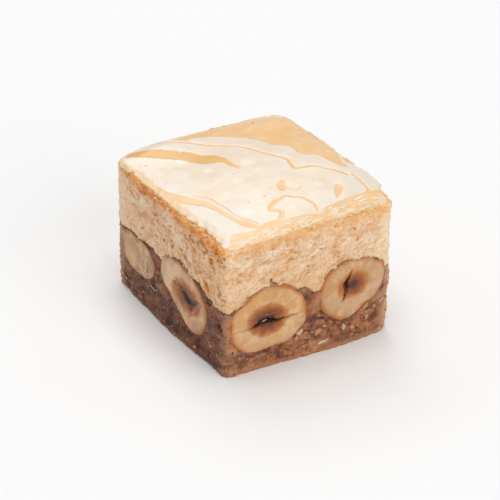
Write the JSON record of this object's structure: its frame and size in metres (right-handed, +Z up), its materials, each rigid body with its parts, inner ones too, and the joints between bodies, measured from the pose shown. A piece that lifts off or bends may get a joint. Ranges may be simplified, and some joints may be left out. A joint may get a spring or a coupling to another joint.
{
  "type": "baklava piece",
  "caption": "Cut block of layered pastry: dark nut paste with halved hazelnuts, pale sponge and a thin glossy filo sheet on top; a small sweet to eat.",
  "frame": {"origin": "middle of the flat base that the block rests on", "axes": "+Z up through the layers, -Y out of the front face with two halved hazelnuts, +Y along the longer sides"},
  "size_m": [0.0311, 0.0363, 0.0243],
  "materials": {
    "nut_paste": "moist coarse ground nut paste, brown",
    "sponge": "matt porous crumb, pale tan, browned just under the top",
    "filo": "thin syrup-glazed pastry sheet, cream with amber streaks, glossy",
    "hazelnut": "cut kernel, cream, brown round its hollow, thin brown skin"
  },
  "bodies": {
    "root": {"nut_paste": "nut_paste", "sponge": "sponge", "filo_sheet": "filo", "hazelnut_front_left": "hazelnut", "hazelnut_front_right": "hazelnut", "hazelnut_left_middle": "hazelnut", "hazelnut_left_back": "hazelnut", "hazelnut_right_front": "hazelnut", "hazelnut_right_back": "hazelnut", "hazelnut_back": "hazelnut"}
  },
  "joints": []
}
